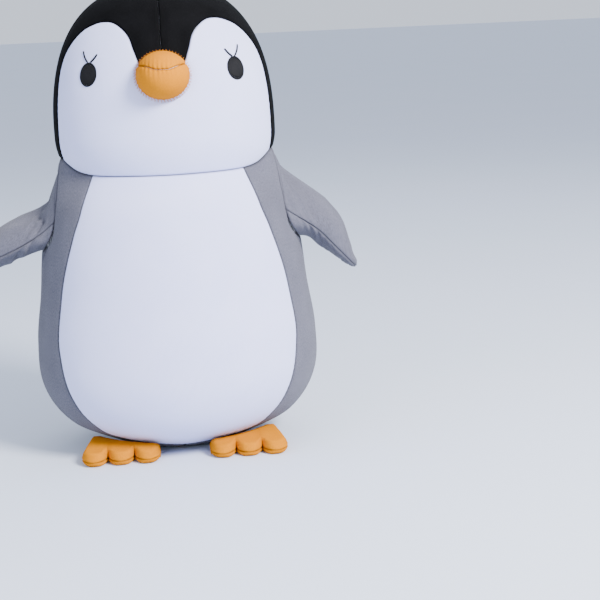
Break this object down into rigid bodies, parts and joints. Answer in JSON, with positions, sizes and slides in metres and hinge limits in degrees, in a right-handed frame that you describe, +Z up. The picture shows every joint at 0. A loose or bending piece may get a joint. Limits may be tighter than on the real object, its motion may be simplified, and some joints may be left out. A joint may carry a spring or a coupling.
{
  "type": "plush penguin",
  "caption": "Standing plush penguin of sewn knit panels, bead filled, with bending flippers and feet and a zip in the back seam.",
  "frame": {"origin": "middle of the flat base that the toy stands on", "axes": "+Z up the toy, the penguin faces -Y, and its own left is +X"},
  "size_m": [0.341, 0.1991, 0.39],
  "materials": {
    "white_knit": "fine smooth stretch knit",
    "black_knit": "fine smooth stretch knit",
    "grey_knit": "heather stretch knit",
    "orange_knit": "ribbed knit",
    "black_thread": "satin stitched embroidery",
    "bead_filling": "loose foam beads, taken as one solid",
    "fibre_filling": "polyester fibre, taken as one solid",
    "zip_tape": "woven tape",
    "zip_teeth": "moulded nylon",
    "zip_metal": "satin grey enamel"
  },
  "bodies": {
    "torso": {"head_filling": "bead_filling", "hood_left": "black_knit", "hood_right": "black_knit", "face_panel": "white_knit", "beak_filling": "fibre_filling", "beak_upper": "orange_knit", "beak_lower": "orange_knit", "eye_left": "black_thread", "eye_right": "black_thread", "lashes_left": "black_thread", "lashes_right": "black_thread", "body_filling": "bead_filling", "belly_panel": "white_knit", "front_side_left": "grey_knit", "front_side_right": "grey_knit", "back_left": "grey_knit", "back_right": "grey_knit", "base_panel": "grey_knit", "zip_tape_left": "zip_tape", "zip_tape_right": "zip_tape", "zip_teeth_left": "zip_teeth", "zip_teeth_right": "zip_teeth", "zip_stops": "zip_teeth"},
    "flipper_left": {"flipper_left_filling": "fibre_filling", "flipper_left_upper": "grey_knit", "flipper_left_under": "grey_knit"},
    "flipper_right": {"flipper_right_filling": "fibre_filling", "flipper_right_upper": "grey_knit", "flipper_right_under": "grey_knit"},
    "foot_left": {"foot_left_filling": "fibre_filling", "foot_left_upper": "orange_knit", "foot_left_sole": "orange_knit"},
    "foot_right": {"foot_right_filling": "fibre_filling", "foot_right_upper": "orange_knit", "foot_right_sole": "orange_knit"},
    "zip_slider": {"zip_slider": "zip_metal"},
    "zip_pull": {"zip_pull": "zip_metal"}
  },
  "joints": [
    {"name": "flipper_left_hinge", "type": "hinge", "parent": "torso", "child": "flipper_left", "pos_m": [0.10599, -0.002, 0.2], "axis": [0, -1, 0], "range_deg": [-8, 60], "stiffness_Nm_per_rad": 0.06},
    {"name": "flipper_right_hinge", "type": "hinge", "parent": "torso", "child": "flipper_right", "pos_m": [-0.10893, -0.002, 0.186], "axis": [0, 1, 0], "range_deg": [-34, 34], "stiffness_Nm_per_rad": 0.06},
    {"name": "foot_left_hinge", "type": "hinge", "parent": "torso", "child": "foot_left", "pos_m": [0.0535, -0.04, 0.006], "axis": [1, 0, 0], "range_deg": [0, 50], "stiffness_Nm_per_rad": 0.03},
    {"name": "foot_right_hinge", "type": "hinge", "parent": "torso", "child": "foot_right", "pos_m": [-0.0535, -0.04, 0.006], "axis": [1, 0, 0], "range_deg": [0, 50], "stiffness_Nm_per_rad": 0.03},
    {"name": "zip_slide", "type": "slide", "parent": "torso", "child": "zip_slider", "axis": [0, 0.0873, -0.9962], "range_m": [0, 0.1119], "deforming": ["zip_teeth_left", "zip_teeth_right"]},
    {"name": "zip_pull_hinge", "type": "hinge", "parent": "zip_slider", "child": "zip_pull", "pos_m": [0, 0.09274, 0.18795], "axis": [1, 0, 0], "range_deg": [0, 165]}
  ]
}
